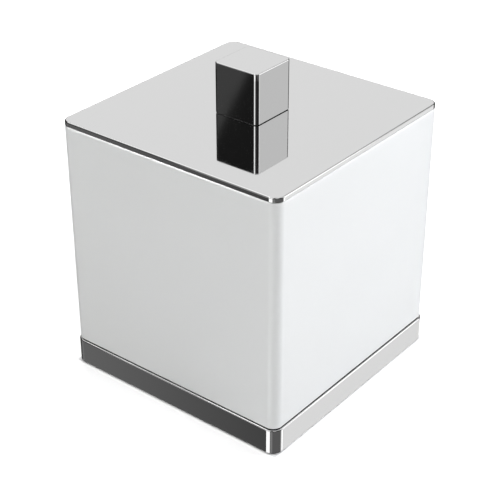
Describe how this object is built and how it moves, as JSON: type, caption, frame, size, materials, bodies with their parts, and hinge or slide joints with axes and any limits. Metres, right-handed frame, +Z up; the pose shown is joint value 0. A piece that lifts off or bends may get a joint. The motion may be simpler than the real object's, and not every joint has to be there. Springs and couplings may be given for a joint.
{
  "type": "cotton pad jar",
  "caption": "Square white jar for cotton pads on a plated plinth, with a thin plated plate lid that lifts off by a cube knob.",
  "frame": {"origin": "centre of the foot pad's underside, on the surface that the jar stands on", "axes": "+Z up along the jar's axis, -Y towards the front, +X to the right; the knob's dowels lie along X"},
  "size_m": [0.101, 0.101, 0.1264],
  "materials": {
    "body_shell": "satin",
    "base_tray": "polished",
    "base_seal": "matte",
    "threaded_inserts": "machined",
    "base_screws": "zinc plated",
    "foot_pad": "matte",
    "lid_plate": "polished",
    "knob_gasket": "matte",
    "knob": "polished",
    "knob_dowels": "ground",
    "knob_screw": "zinc plated",
    "knob_washer": "zinc plated",
    "lid_locator": "moulded",
    "lid_seal": "silicone"
  },
  "bodies": {
    "jar": {"body_shell": "body_shell", "base_tray": "base_tray", "base_seal": "base_seal", "threaded_inserts": "threaded_inserts", "base_screws": "base_screws", "foot_pad": "foot_pad"},
    "lid": {"lid_plate": "lid_plate", "knob_gasket": "knob_gasket", "knob": "knob", "knob_dowels": "knob_dowels", "knob_screw": "knob_screw", "knob_washer": "knob_washer", "lid_locator": "lid_locator", "lid_seal": "lid_seal"}
  },
  "joints": [
    {"name": "lid_lift", "type": "slide", "parent": "jar", "child": "lid", "axis": [0, 0, 1], "range_m": [0, 0.1]}
  ]
}
